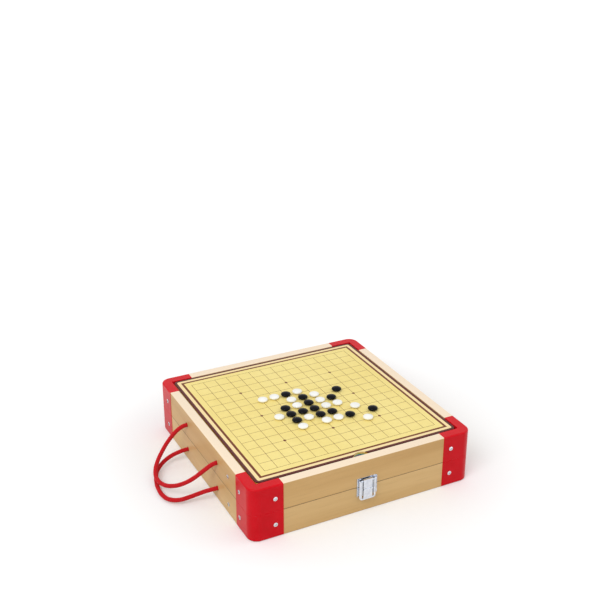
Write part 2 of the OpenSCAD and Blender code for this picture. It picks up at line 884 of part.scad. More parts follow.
module rope_knots(z) {
    // Round knots, each cut flat where it bears on the wall
    seat_x = 0.65 * knot_r;
    color(red) for (side = [-1, 1]) {
        translate([-case_w / 2 + wall_t, side * rope_hole_y, z]) rotate([0, 90, 0]) rotate_extrude() intersection() {
            translate([0, seat_x]) circle(knot_r);
            square([knot_r, 2 * knot_r]);
        }
    }
}

// Loose boards, counted up from the fixed board

module board(place, tint) {
    color(tint) translate([0, 0, river_top_z + board_air + (place - 1) * board_pitch]) linear_extrude(board_t)
        difference() {
            round_rect(board_w, board_d, board_corner_r);
            intersection() {
                notch_r = (notch_w * notch_w / 4 + notch_d * notch_d) / (2 * notch_d);
                translate([0, -board_d / 2 + notch_d - notch_r]) circle(notch_r);
                translate([-notch_w, -board_d / 2 - cut]) square([2 * notch_w, notch_d + 2 * cut]);
            }
        }
}

module stone() {
    // Two domes that run smoothly into a rounded rim
    rim_x = stone_d / 2 - stone_rim_r;
    dome_r = (rim_x * rim_x + stone_h * stone_h / 4 - stone_rim_r * stone_rim_r) / (stone_h - 2 * stone_rim_r);
    dome_down = dome_r - stone_h / 2;
    meet_x = rim_x * dome_r / (dome_r - stone_rim_r);
    translate([0, 0, stone_h / 2]) rotate_extrude($fn = 20) {
        intersection() {
            translate([0, -dome_down]) circle(dome_r);
            translate([0, dome_down]) circle(dome_r);
            translate([0, -stone_h]) square([meet_x, 2 * stone_h]);
        }
        translate([rim_x, 0]) circle(stone_rim_r, $fn = 16);
    }
}

module stones(places, tint) {
    color(tint) for (place = places) {
        translate([place[0] * line_pitch_x, place[1] * line_pitch_y, boards_top_z]) stone();
    }
}

// Pieces for the other games, in the compartments of the lower half

module disc() {
    rotate_extrude($fn = 16) difference() {
        soft_rect(disc_d / 2, disc_h, 0, disc_edge_r, disc_edge_r, 0, $fn = 16);
        translate([disc_ring_r, disc_h - disc_ring_d]) square([disc_ring_w, disc_ring_d + cut]);
    }
}

module discs(rows, tint) {
    color(tint) for (row = rows, column = [0 : disc_columns - 1]) {
        translate([(column - (disc_columns - 1) / 2) * disc_pitch, disc_first_y - row * disc_pitch, floor_z]) disc();
    }
}

module pawn() {
    neck_top_z = pawn_h - 1.6 * pawn_head_r;
    rotate_extrude($fn = 24) {
        soft_rect(pawn_d / 2, pawn_foot_h, 0, pawn_foot_edge_r, pawn_foot_edge_r, 0, $fn = 16);
        polygon([[0, pawn_foot_h], [pawn_d / 2 - pawn_foot_step, pawn_foot_h],
            [pawn_neck_r, neck_top_z], [0, neck_top_z]]);
        intersection() {
            translate([0, pawn_h - pawn_head_r]) circle(pawn_head_r, $fn = 24);
            translate([0, pawn_h - 2 * pawn_head_r]) square(2 * pawn_head_r);
        }
    }
}

module pawns(bay_x, row_y, tint) {
    color(tint) for (column = [-1.5, -0.5, 0.5, 1.5]) {
        translate([bay_x + column * pawn_pitch, row_y, floor_z]) pawn();
    }
}

module dice() {
    color("ivory") for (side = [-1, 1]) {
        translate([bay_pitch / 2 + side * dice_w, front_bay_y + dice_w, floor_z + dice_w / 2]) intersection() {
            cube(dice_w, center = true);
            sphere(0.76 * dice_w);
        }
    }
}

lower_front_wall();
lower_back_wall();
lower_left_wall();
lower_right_wall();
lower_corner(false, false);  // lower_corner_front_left
lower_corner(true, false);  // lower_corner_front_right
lower_corner(false, true);  // lower_corner_back_left
lower_corner(true, true);  // lower_corner_back_right
corner_screws();  // lower_corner_screws
bottom_panel();
lower_divider();
tray_partitions();
divider_screws(lower_divider_screw_z);  // lower_divider_screws
upper_front_wall();
upper_back_wall();
upper_left_wall();
upper_right_wall();
upper_corner(false, false);  // upper_corner_front_left
upper_corner(true, false);  // upper_corner_front_right
upper_corner(false, true);  // upper_corner_back_left
upper_corner(true, true);  // upper_corner_back_right
in_lid() corner_screws();  // upper_corner_screws
lid_panel();
river_board();
upper_divider();
divider_screws(upper_divider_screw_z);  // upper_divider_screws
hinge_leaves_lower();
hinge_leaves_upper();
hinge_pins();
hinge_screws(half_h - hinge_screw_z);  // hinge_screws_lower
hinge_screws(half_h + hinge_screw_z);  // hinge_screws_upper
latch_base();
latch_screws(base_screw_z);  // latch_base_screws
latch_rivets();
latch_lever();
latch_strap();
latch_strap_pin();
latch_strike();
latch_screws(strike_screw_z);  // latch_strike_screws
rope(lower_rope_route, lower_rope_z);  // rope_handle_lower
rope(upper_rope_route, upper_rope_z);  // rope_handle_upper
rope_knots(lower_rope_z);  // rope_knots_lower
rope_knots(upper_rope_z);  // rope_knots_upper
board(1, "midnightblue");  // board_pentagram
board(2, "mediumpurple");  // board_snakes
board(3, "mediumaquamarine");  // board_ludo
board(4, "gold");  // board_star
board(5, "khaki");  // board_lines
stones(black_stones, "black");  // stones_black
stones(white_stones, "white");  // stones_white
discs([0, 1], "indianred");  // discs_red
discs([2, 3], "dimgray");  // discs_black
pawns(pawn_bay_x[0], pawn_row_y[0], "red");  // pawns_red
pawns(pawn_bay_x[0], pawn_row_y[1], "yellow");  // pawns_yellow
pawns(pawn_bay_x[1], pawn_row_y[0], "green");  // pawns_green
pawns(pawn_bay_x[1], pawn_row_y[1], "blue");  // pawns_blue
dice();
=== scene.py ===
import bmesh
import bpy
import math
import random
from mathutils import Matrix, Vector


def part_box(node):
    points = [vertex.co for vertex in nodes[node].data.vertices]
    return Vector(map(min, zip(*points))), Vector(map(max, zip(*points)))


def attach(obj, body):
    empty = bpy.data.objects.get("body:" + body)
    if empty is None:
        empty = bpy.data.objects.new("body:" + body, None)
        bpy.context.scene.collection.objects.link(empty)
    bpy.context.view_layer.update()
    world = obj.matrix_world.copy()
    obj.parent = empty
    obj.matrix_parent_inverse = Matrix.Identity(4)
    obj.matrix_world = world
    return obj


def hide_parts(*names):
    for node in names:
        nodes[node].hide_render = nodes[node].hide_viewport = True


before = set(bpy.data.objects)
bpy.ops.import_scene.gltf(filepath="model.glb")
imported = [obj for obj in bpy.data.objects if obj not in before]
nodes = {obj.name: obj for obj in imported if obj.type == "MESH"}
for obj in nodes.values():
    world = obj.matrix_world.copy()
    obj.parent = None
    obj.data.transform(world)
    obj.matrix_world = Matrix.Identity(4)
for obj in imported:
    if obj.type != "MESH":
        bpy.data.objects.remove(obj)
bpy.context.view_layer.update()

# Camera and light: a long lens from the front left, slightly above the stack of boards.
# A large soft lamp hangs over the front left, a weaker one stands at the right, and the
# pale floor keeps the shadow while the background stays white.
scene = bpy.context.scene
scene.view_settings.view_transform = "Standard"
camera_turn, camera_tilt = math.radians(-26.696), math.radians(23.233)
camera_aim = Vector((-0.00703, 0.01092, 0.21393))
camera_distance = 1.2474
toward_camera = Vector((math.sin(camera_turn) * math.cos(camera_tilt),
                        -math.cos(camera_turn) * math.cos(camera_tilt), math.sin(camera_tilt)))
camera = bpy.data.objects.new("camera", bpy.data.cameras.new("camera"))
scene.collection.objects.link(camera)
camera.location = camera_aim + camera_distance * toward_camera
camera.rotation_mode = "QUATERNION"
camera.rotation_quaternion = (-toward_camera).to_track_quat("-Z", "Y")
camera.data.lens = 60
camera.data.sensor_width = 36
camera.data.clip_end = 50
scene.camera = camera


def lamp(name, place, aim, width, watts):
    """A square soft lamp."""
    light = bpy.data.lights.new(name, "AREA")
    light.size = width
    light.energy = watts
    hung = bpy.data.objects.new(name, light)
    scene.collection.objects.link(hung)
    hung.location = place
    hung.rotation_mode = "QUATERNION"
    hung.rotation_quaternion = (Vector(aim) - Vector(place)).to_track_quat("-Z", "Y")


lamp_aim = (0, 0, 0.1)
lamp("key_lamp", (-1.35, -0.95, 1.75), lamp_aim, width=1.1, watts=20)
lamp("side_lamp", (1.9, -0.9, 1.3), lamp_aim, width=1.2, watts=5)


def node(tree, kind, feeds=None, **settings):
    """Adds a shader node; each feed is a value or a socket for the named input."""
    made = tree.nodes.new("ShaderNode" + kind)
    for name, value in settings.items():
        setattr(made, name, value)
    for key, feed in (feeds or {}).items():
        if isinstance(feed, bpy.types.NodeSocket):
            tree.links.new(feed, made.inputs[key])
        else:
            made.inputs[key].default_value = feed
    return made


def reckon(tree, way, *values):
    """A sum, a comparison or the like of some values."""
    return node(tree, "Math", dict(enumerate(values)), operation=way).outputs[0]


def sees_background(tree):
    """1 for the rays that should meet the white background: of the camera, mirrors and glass."""
    path = node(tree, "LightPath")
    either = reckon(tree, "MAXIMUM", path.outputs["Is Camera Ray"], path.outputs["Is Glossy Ray"])
    return reckon(tree, "MAXIMUM", either, path.outputs["Is Transmission Ray"])


sky_light = 0.72
world = bpy.data.worlds.new("studio")
world.use_nodes = True
scene.world = world
sky = world.node_tree
sky.nodes.clear()
strength = node(sky, "MapRange",
                {"Value": sees_background(sky), "To Min": sky_light, "To Max": 1.0})
backdrop = node(sky, "Background", {"Color": (1, 1, 1, 1), "Strength": strength.outputs[0]})
sky.links.new(backdrop.outputs[0], node(sky, "OutputWorld").inputs["Surface"])

floor_reach, floor_drop = 6, 0.0002
bounce_grey, seen_grey = 0.62, 0.86
shadow_reach, white_from = 0.2, 0.75
shadow_glow = 0.14
ground = bmesh.new()
bmesh.ops.create_grid(ground, x_segments=8, y_segments=8, size=floor_reach,
                      matrix=Matrix.Translation((0, 0, -floor_drop)))
floor_mesh = bpy.data.meshes.new("floor")
ground.to_mesh(floor_mesh)
ground.free()
floor = bpy.data.objects.new("floor", floor_mesh)
scene.collection.objects.link(floor)
floor_paint = bpy.data.materials.new("pale floor")
floor_paint.use_nodes = True
floor_tree = floor_paint.node_tree
floor_tree.nodes.clear()
bounce = node(floor_tree, "BsdfDiffuse", {"Color": (bounce_grey, bounce_grey, bounce_grey, 1)})
seen = node(floor_tree, "BsdfDiffuse", {"Color": (seen_grey, seen_grey, seen_grey, 1)})
spread = node(floor_tree, "VectorMath", {0: node(floor_tree, "TexCoord").outputs["Object"]},
              operation="LENGTH")
whiter = node(floor_tree, "MapRange",
              {"Value": spread.outputs["Value"], "From Min": shadow_reach, "From Max": white_from,
               "To Min": shadow_glow, "To Max": 1.0}, interpolation_type="SMOOTHSTEP")
glow = node(floor_tree, "Emission", {"Color": (1, 1, 1, 1), "Strength": whiter.outputs[0]})
both = node(floor_tree, "AddShader", {0: seen.outputs[0], 1: glow.outputs[0]})
floor_mix = node(floor_tree, "MixShader",
                 {0: sees_background(floor_tree), 1: bounce.outputs[0], 2: both.outputs[0]})
floor_tree.links.new(floor_mix.outputs[0], node(floor_tree, "OutputMaterial").inputs["Surface"])
floor_mesh.materials.append(floor_paint)


# Rope handles: two lengths of 6 mm braided red cord. Each leaves the left wall through one
# hole, hangs in a loop beside the case and goes back in through the other, and a stopper knot
# at each end keeps it there. The braid has six strands each way round a plain core.
def shade(red, green, blue):
    """A colour as it shows on a screen, 0 to 255, for a shader."""
    def plain(part):
        part /= 255
        return part / 12.92 if part <= 0.04045 else ((part + 0.055) / 1.055) ** 2.4
    return (plain(red), plain(green), plain(blue), 1)


def surface(name, **sockets):
    """A material, its node tree and its main shader, with the shader's own sockets set."""
    made = bpy.data.materials.new(name)
    made.use_nodes = True
    tree = made.node_tree
    shader = tree.nodes["Principled BSDF"]
    for key, value in sockets.items():
        shader.inputs[key.replace("_", " ")].default_value = value
    return made, tree, shader


def place_on(tree, stretch=(1, 1, 1)):
    """Object coordinates, stretched along the axes."""
    where = node(tree, "TexCoord").outputs["Object"]
    return node(tree, "Mapping", {"Vector": where, "Scale": stretch}).outputs[0]


def mottle(tree, where, scale, detail=4.0, roughness=0.6, distortion=0.0):
    """Noise from 0 to 1 at so many lumps a metre."""
    return node(tree, "TexNoise", {"Vector": where, "Scale": scale, "Detail": detail,
                                   "Roughness": roughness, "Distortion": distortion}).outputs[0]


def ramp(tree, value, *stops):
    """A colour for each value, from (place, colour) stops."""
    made = node(tree, "ValToRGB", {0: value})
    band = made.color_ramp
    while len(band.elements) < len(stops):
        band.elements.new(0.5)
    for element, (place, colour) in zip(band.elements, stops):
        element.position = place
        element.color = colour
    return made.outputs[0]


def between(tree, value, dark, light, low=0.3, high=0.7):
    """From a dark to a light screen colour, as the value goes from low to high."""
    return ramp(tree, value, (low, shade(*dark)), (high, shade(*light)))


def mixed(tree, factor, first, second, way="MIX"):
    """A mix of two colours."""
    return node(tree, "Mix", {0: factor, 6: first, 7: second},
                data_type="RGBA", blend_type=way).outputs[2]


def colour_it(tree, shader, colour):
    """Gives the shader its colour."""
    tree.links.new(colour, shader.inputs["Base Color"])


def relief(tree, shader, height, depth, strength):
    """Bump of that depth in metres."""
    bump = node(tree, "Bump", {"Height": height, "Distance": depth, "Strength": strength})
    tree.links.new(bump.outputs[0], shader.inputs["Normal"])


def clouded(name, lumps, detail, dark, light, depth, strength, **sockets):
    """A material in small clouds from dark to light, with a slight relief in them."""
    finish, tree, shader = surface(name, **sockets)
    cloud = mottle(tree, place_on(tree), lumps, detail)
    colour_it(tree, shader, between(tree, cloud, dark, light))
    relief(tree, shader, cloud, depth, strength)
    return finish


rope_finish = clouded("red braided cord", 2600, 3, (176, 4, 18), (222, 14, 30), 0.00012, 0.6,
                      Roughness=0.6, Specular_IOR_Level=0.25, Sheen_Weight=0.08,
                      Sheen_Roughness=0.4)

wall_x = -0.15
rope_hole_y = 0.05
rope_end_x = -0.1375
lower_hole_z, upper_hole_z = 0.016, 0.052
lower_route = [(0, 50, 16), (-6, 50.3, 15.6), (-13, 51, 14.2), (-21, 51.2, 12.1),
               (-29, 49.6, 9.9), (-36.6, 46, 7.8), (-43.4, 40.6, 6.1), (-49.2, 33, 4.8),
               (-53.6, 23.4, 3.9), (-57, 12, 3.4), (-59, 0, 3.3), (-59.6, -13, 3.4),
               (-57.4, -25, 3.8), (-51.8, -34.2, 4.8), (-43.6, -39.8, 6.4), (-34.2, -42.4, 8.6),
               (-24.8, -44.2, 10.9), (-15.8, -46, 13.1), (-7.6, -48.6, 15.1), (0, -50, 16)]
upper_route = [(0, 50, 52), (-5, 50.5, 51.2), (-9.6, 51.5, 48.6), (-13.8, 52.8, 44.8),
               (-18.2, 53.8, 40), (-23.2, 54, 34.6), (-29.2, 52.2, 29), (-35.8, 48.2, 23.4),
               (-42.2, 42.8, 18.6), (-48, 35.8, 14.8), (-52.8, 27, 12.1), (-55.8, 17, 10.6),
               (-56.6, 6, 10.4), (-54.8, -4.8, 11.1), (-50.8, -14.6, 13.1), (-44.6, -23.2, 16.6),
               (-37.8, -30.4, 21.4), (-31, -36, 27), (-24.4, -40.2, 33), (-18.2, -43.6, 39.2),
               (-12.4, -46.6, 45), (-6.4, -49, 50), (0, -50, 52)]
strand_r, core_r = 0.00076, 0.002
braid_step = 0.0009
knot_strand_r = 0.0017


def smooth_line(points, parts):
    """A smooth curve through the points, each stretch in so many parts."""
    last = len(points) - 1
    made = []
    for i in range(last):
        before, start, end, after = [points[min(max(k, 0), last)] for k in range(i - 1, i + 3)]
        for j in range(parts):
            t = j / parts
            made.append(0.5 * (2 * start + (end - before) * t
                               + (2 * before - 5 * start + 4 * end - after) * t * t
                               + (3 * start - before - 3 * end + after) * t ** 3))
    return made + [points[-1]]


def tube_mesh(name, lines, radius, sides=1, closed=False, taper=None):
    """A mesh of round strands along the lines, as thick at each point as taper says."""
    strands = bpy.data.curves.new(name, "CURVE")
    strands.dimensions = "3D"
    strands.bevel_depth = radius
    strands.bevel_resolution = sides
    strands.use_fill_caps = not closed
    for line in lines:
        spline = strands.splines.new("POLY")
        spline.points.add(len(line) - 1)
        spline.use_cyclic_u = closed
        for k, (point, where) in enumerate(zip(spline.points, line)):
            point.co = (*where, 1)
            point.radius = taper[k] if taper else 1
    holder = bpy.data.objects.new(name, strands)
    scene.collection.objects.link(holder)
    shaped = holder.evaluated_get(bpy.context.evaluated_depsgraph_get())
    mesh = bpy.data.meshes.new_from_object(shaped)
    bpy.data.objects.remove(holder)
    return mesh


def joined(name, meshes):
    """One mesh of several closed ones, with its faces turned outwards."""
    whole = bmesh.new()
    for mesh in meshes:
        whole.from_mesh(mesh)
    bmesh.ops.recalc_face_normals(whole, faces=whole.faces)
    made = bpy.data.meshes.new(name)
    whole.to_mesh(made)
    whole.free()
    return made


def finished(name, mesh, finish, body, smooth=True):
    """A piece with its material, that moves with the body."""
    mesh.materials.clear()
    mesh.materials.append(finish)
    for face in mesh.polygons:
        face.use_smooth = smooth
    made = bpy.data.objects.new(name, mesh)
    scene.collection.objects.link(made)
    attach(made, body)
    return made


def braid_lines(line, pitch=0.0172, rest_r=0.00185, wave=0.00035, strands=6):
    """The strands of a braid, wound both ways round the line and passing over and under."""
    runs = [[] for _ in range(2 * strands)]
    side = Vector((0, 0, 1))
    gone = 0.0
    for i, where in enumerate(line):
        ahead = (line[min(i + 1, len(line) - 1)] - line[max(i - 1, 0)]).normalized()
        side = (side - side.dot(ahead) * ahead).normalized()
        across = ahead.cross(side)
        if i:
            gone += (where - line[i - 1]).length
        spin = 2 * math.pi * gone / pitch
        for way in (1, -1):
            radius = rest_r + way * wave * math.cos(strands * spin)
            for k in range(strands):
                angle = 2 * math.pi * k / strands + way * spin
                runs[k + (strands if way < 0 else 0)].append(
                    where + radius * (math.cos(angle) * side + math.sin(angle) * across))
    return runs


def even(line, step):
    """The line's points at even steps."""
    made, left = [line[0]], step
    for start, end in zip(line, line[1:]):
        run = (end - start).length
        gone = 0.0
        while run - gone >= left:
            gone += left
            made.append(start.lerp(end, gone / run))
            left = step
        left -= run - gone
    if (made[-1] - line[-1]).length > step / 4:
        made.append(line[-1])
    return made


def knot_line(y, z, x=-0.1337, depth=0.0017, width=0.00115, squeeze=0.86, steps=72):
    """The line of a stopper knot, three lobes wound through each other behind the wall."""
    turns = [2 * math.pi * i / steps for i in range(steps)]
    return [Vector((x - depth * math.sin(3 * t),
                    y + width * (math.sin(t) + 2 * math.sin(2 * t)) * squeeze,
                    z + width * (math.cos(t) - 2 * math.cos(2 * t)) * squeeze)) for t in turns]


for half, body, route, hole_z, length in (
        ("lower", "lower_case", lower_route, lower_hole_z, 0.2091),
        ("upper", "upper_case", upper_route, upper_hole_z, 0.2224)):
    points = [Vector((wall_x + x / 1000, y / 1000, z / 1000)) for x, y, z in route]
    points = [Vector((rope_end_x, rope_hole_y, hole_z)), *points,
              Vector((rope_end_x, -rope_hole_y, hole_z))]
    line = even(smooth_line(points, 12), braid_step)
    braid = tube_mesh("braid", braid_lines(line), strand_r)
    core = tube_mesh("core", [line[::3] + [line[-1]]], core_r)
    rope = finished("braided_rope_" + half, joined("rope", (braid, core)), rope_finish, body)
    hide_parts("rope_handle_" + half)
    lobes = [tube_mesh("knot", [knot_line(y, hole_z)], knot_strand_r, sides=3, closed=True)
             for y in (rope_hole_y, -rope_hole_y)]
    knot = finished("stopper_knots_" + half, joined("knots", lobes), rope_finish, body)
    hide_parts("rope_knots_" + half)


# Walls of both halves: planed beech with a satin varnish, grain along each wall. They are set
# into the corner blocks with tenons. The top of the lid's rim is painted paler, as painted sheen.
# Painted sheen: from this height up, the top of the lid's rim is painted pale cream.
rim_from, rim_to = 0.0691, 0.0696
# Painted shade: a thin dark line round the outside at the seam between the halves.
seam_z, seam_half = 0.035, 0.0006
outer_face = 0.1497


def coat(finish, *names):
    """Gives CAD nodes their material."""
    for name in names:
        mesh = nodes[name].data
        mesh.materials.clear()
        mesh.materials.append(finish)


def reach_out(tree):
    """The larger of a point's distances from the middle, to the side and to the front or back."""
    where = node(tree, "TexCoord").outputs["Object"]
    size = node(tree, "VectorMath", {0: where}, operation="ABSOLUTE").outputs[0]
    apart = node(tree, "SeparateXYZ", {0: size})
    return reckon(tree, "MAXIMUM", apart.outputs[0], apart.outputs[1])


def height_on(tree):
    """A point's height above the table."""
    return node(tree, "SeparateXYZ", {0: node(tree, "TexCoord").outputs["Object"]}).outputs[2]


def painted_sheen_and_seam_shade(tree, colour, bands, rim):
    """The wood with painted sheen on the lid's rim top and painted shade in the seam outside."""
    height = height_on(tree)
    # Painted sheen: the top face of the rim is painted pale cream, as light from above shows it.
    top = node(tree, "MapRange", {"Value": height, "From Min": rim_from, "From Max": rim_to})
    painted_sheen = between(tree, bands, [0.97 * part for part in rim], rim)
    colour = mixed(tree, top.outputs[0], colour, painted_sheen)
    # Painted shade: the seam line round the outside is painted dark brown.
    at_seam = reckon(tree, "COMPARE", height, seam_z, seam_half)
    outside = reckon(tree, "GREATER_THAN", reach_out(tree), outer_face)
    painted_seam_shade = reckon(tree, "MULTIPLY", reckon(tree, "MULTIPLY", at_seam, outside), 0.6)
    return mixed(tree, painted_seam_shade, colour, shade(92, 64, 38))


def timber(name, along, dark, light, rim=None, pores=0.5, roughness=0.42):
    """Wood with its grain along X, Y or Z; a rim colour adds painted sheen and painted seam shade.
    """
    finish, tree, shader = surface(name, Roughness=roughness, Specular_IOR_Level=0.35)

    def grain(lengthwise, crosswise):
        """Object coordinates in lumps a metre, with and across the grain."""
        return place_on(tree, [lengthwise if axis == along else crosswise for axis in "XYZ"])

    bands = mottle(tree, grain(1.6, 26), 1.0, detail=5, roughness=0.55, distortion=0.5)
    streaks = mottle(tree, grain(22, 420), 1.0, detail=3, roughness=0.6)
    colour = between(tree, bands, dark, light, low=0.32, high=0.68)
    pore = ramp(tree, streaks, (0.3, (1, 1, 1, 1)), (0.46, (0, 0, 0, 1)))
    colour = mixed(tree, reckon(tree, "MULTIPLY", pore, 0.22 * pores), colour,
                   shade(*[0.72 * part for part in dark]))
    if rim:
        colour = painted_sheen_and_seam_shade(tree, colour, bands, rim)
    colour_it(tree, shader, colour)
    relief(tree, shader, streaks, 0.00008, 0.35)
    return finish


# The pale cream of the painted sheen on the lid's rim top.
sheen_pale_rim = (252, 231, 203)
for half, dark, light in (("lower", (206, 166, 106), (225, 188, 130)),
                          ("upper", (200, 157, 97), (218, 178, 118))):
    across = timber("beech along the front, " + half, "X", dark, light, sheen_pale_rim)
    deep = timber("beech along the sides, " + half, "Y", dark, light, sheen_pale_rim)
    coat(across, half + "_front_wall", half + "_back_wall")
    coat(deep, half + "_left_wall", half + "_right_wall")

# Corner blocks: wood with a thick glossy red lacquer, one at each corner of each half.
# The tenons of the walls sit in them, and pan head screws hold each block.
lacquer, tree, shader = surface("red lacquer", Roughness=0.3, Specular_IOR_Level=0.1,
                                Coat_Weight=0.1, Coat_Roughness=0.08)
place = place_on(tree)
cloud = mottle(tree, place, 40, detail=2)
colour_it(tree, shader, between(tree, cloud, (204, 2, 20), (216, 6, 26)))
relief(tree, shader, mottle(tree, place, 420, detail=2), 0.00006, 0.35)
coat(lacquer, *[f"{half}_corner_{end}_{side}" for half in ("lower", "upper")
                for end in ("front", "back") for side in ("left", "right")])

# Screws: bright plated steel, with pan heads and crossed drive slots. They hold the blocks, the
# dividers, the hinges and the latch. The floor of the slots is painted dark as painted shade.
slot_floor, slot_band = 0.1503, 0.00006
plated, tree, shader = surface("bright plated steel", Metallic=1.0, Roughness=0.24)
haze = mottle(tree, place_on(tree), 900, detail=3)
bright = between(tree, haze, (196, 198, 204), (226, 228, 232))
# Painted shade: the floor of the drive slots is painted dark, as the recess is in shade.
painted_slot_shade = reckon(tree, "COMPARE", reach_out(tree), slot_floor, slot_band)
colour_it(tree, shader, mixed(tree, painted_slot_shade, bright, shade(44, 30, 32)))
relief(tree, shader, haze, 0.00002, 0.3)
coat(plated, *[name for name in nodes if "screws" in name])

# Bottom and lid panels: 3 mm birch plywood, one sheet in each half. Their edges sit in grooves
# round the inside of the walls.
ply = timber("birch plywood", "X", (206, 176, 130), (226, 199, 155), pores=0.8, roughness=0.6)
coat(ply, "bottom_panel", "lid_panel")

# Dividers and partitions: bare beech boards that part the inside. A long divider in each half is
# screwed through the side walls, and the short partitions of the lower half are glued in.
bare_dark, bare_light = (212, 176, 124), (228, 196, 146)
bare = timber("bare beech", "X", bare_dark, bare_light, pores=0.7, roughness=0.58)
bare_deep = timber("bare beech across", "Y", bare_dark, bare_light, pores=0.7, roughness=0.58)
coat(bare, "lower_divider", "upper_divider")
coat(bare_deep, "tray_partitions")

# Hinges: two butt hinges of pressed steel at the back, nickel plated and lightly brushed.
# Their leaves are screwed to the two halves and turn on pins.
nickel, tree, shader = surface("brushed nickel", Metallic=1.0, Roughness=0.34)
brushed = mottle(tree, place_on(tree, (60, 60, 1500)), 1.0, detail=3)
colour_it(tree, shader, between(tree, brushed, (178, 176, 170), (212, 210, 204)))
relief(tree, shader, brushed, 0.00003, 0.4)
coat(nickel, "hinge_leaves_lower", "hinge_leaves_upper", "hinge_pins")

# Latch: a small toggle catch bent from 0.7 mm sheet steel and chrome plated. The base and its
# ears are screwed to the lower half, and the strap hooks over the strike on the lid.
chrome, tree, shader = surface("chrome plate", Metallic=1.0, Roughness=0.12)
dull = mottle(tree, place_on(tree), 260, detail=4)
colour_it(tree, shader, between(tree, dull, (206, 212, 224), (230, 235, 243)))
gloss = node(tree, "MapRange", {"Value": dull, "To Min": 0.08, "To Max": 0.2}).outputs[0]
tree.links.new(gloss, shader.inputs["Roughness"])
coat(chrome, "latch_base", "latch_rivets", "latch_lever", "latch_strap", "latch_strap_pin",
     "latch_strike")


# Fixed board of the river game: a printed board let into the lid, in beige with thin brown
# lines. All printed figures are thin layers of ink that lie on their board.
ink_step = 0.000015
inks = {}


def ink(colour):
    """The material of an ink, slightly uneven as printed card is."""
    if colour not in inks:
        finish, tree, shader = surface("ink %d %d %d" % colour, Roughness=0.45,
                                       Specular_IOR_Level=0.16)
        grain = mottle(tree, place_on(tree), 160, detail=5)
        thin = [max(0, part - 5) for part in colour]
        full = [min(255, part + 4) for part in colour]
        colour_it(tree, shader, between(tree, grain, thin, full, low=0.25, high=0.75))
        inks[colour] = finish
    return inks[colour]


def spot(flat, x, y, radius, sides=20):
    """A round dot, in millimetres."""
    bmesh.ops.create_circle(flat, cap_ends=True, radius=radius, segments=sides,
                            matrix=Matrix.Translation((x, y, 0)))


def tile(flat, x, y, width, depth, corner=0.0, turned=0.0):
    """A rectangle, with rounded corners if it has any."""
    place = (Matrix.Translation((x, y, 0)) @ Matrix.Rotation(turned, 4, "Z")
             @ Matrix.Diagonal((width, depth, 1, 1)))
    corners = bmesh.ops.create_grid(flat, x_segments=1, y_segments=1, size=0.5,
                                    matrix=place)["verts"]
    if corner:
        bmesh.ops.bevel(flat, geom=corners, offset=corner, offset_type="OFFSET", segments=3,
                        profile=0.5, affect="VERTICES", material=-1)


def strip(flat, start, end, width):
    """A straight line of that width."""
    run = Vector(end) - Vector(start)
    middle = (Vector(start) + Vector(end)) / 2
    tile(flat, middle.x, middle.y, run.length, width, turned=math.atan2(run.y, run.x))


def printed(name, board, colour, level, flat, body=None):
    """Lays flat shapes, drawn in millimetres, on the board as a closed layer of ink that is so
    many steps high."""
    bmesh.ops.scale(flat, vec=(0.001, 0.001, 0.001), verts=flat.verts)
    bmesh.ops.translate(flat, vec=(0, 0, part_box(board)[1].z), verts=flat.verts)
    raised = bmesh.ops.extrude_face_region(flat, geom=flat.faces[:], use_keep_orig=True)["geom"]
    bmesh.ops.translate(flat, vec=(0, 0, level * ink_step),
                        verts=[part for part in raised if isinstance(part, bmesh.types.BMVert)])
    bmesh.ops.recalc_face_normals(flat, faces=flat.faces)
    mesh = bpy.data.meshes.new(name)
    flat.to_mesh(mesh)
    flat.free()
    return finished(name, mesh, ink(colour), body or board, smooth=False)


def reckon_vector(tree, way, *vectors):
    """A sum, a comparison or the like of some vectors."""
    return node(tree, "VectorMath", dict(enumerate(vectors)), operation=way)


def board_distance(tree, half, corner):
    """How far a point lies inside the outline of a board, in metres."""
    where = node(tree, "TexCoord").outputs["Object"]
    flat = reckon_vector(tree, "MULTIPLY", where, (1, 1, 0)).outputs[0]
    size = reckon_vector(tree, "ABSOLUTE", flat).outputs[0]
    over = reckon_vector(tree, "SUBTRACT", size, (half - corner, half - corner, 0)).outputs[0]
    past = reckon_vector(tree, "MAXIMUM", over, (0, 0, 0)).outputs[0]
    round_part = reckon_vector(tree, "LENGTH", past).outputs["Value"]
    split = node(tree, "SeparateXYZ", {0: over})
    larger = reckon(tree, "MAXIMUM", split.outputs[0], split.outputs[1])
    outside = reckon(tree, "ADD", round_part, reckon(tree, "MINIMUM", larger, 0.0))
    return reckon(tree, "SUBTRACT", corner, outside)


def printed_board(name, board, bands, field, half=0.136, corner=0.006, backing=(226, 225, 222)):
    """A laminated board: bands along its edge as (width in mm, colour or pattern), a field inside
    them that field(tree) gives, and plain backing on its underside."""
    backing_t = 0.0001
    finish, tree, shader = surface(name, Roughness=0.42, Specular_IOR_Level=0.16)
    inside = reckon(tree, "MULTIPLY", board_distance(tree, half, corner), 1000.0)
    colour = field(tree)
    reached = sum(width for width, _ in bands)
    for width, paint in reversed(bands):
        within = reckon(tree, "LESS_THAN", inside, reached)
        colour = mixed(tree, within, colour, paint(tree) if callable(paint) else shade(*paint))
        reached -= width
    grain = mottle(tree, place_on(tree), 180, detail=5)
    paper = ramp(tree, grain, (0.3, shade(249, 249, 249)), (0.7, (1, 1, 1, 1)))
    colour = mixed(tree, 1.0, colour, paper, "MULTIPLY")
    is_under = reckon(tree, "LESS_THAN", height_on(tree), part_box(board)[0].z + backing_t)
    colour_it(tree, shader, mixed(tree, is_under, colour, shade(*backing)))
    relief(tree, shader, mottle(tree, place_on(tree), 700, detail=2), 0.00003, 0.2)
    coat(finish, board)


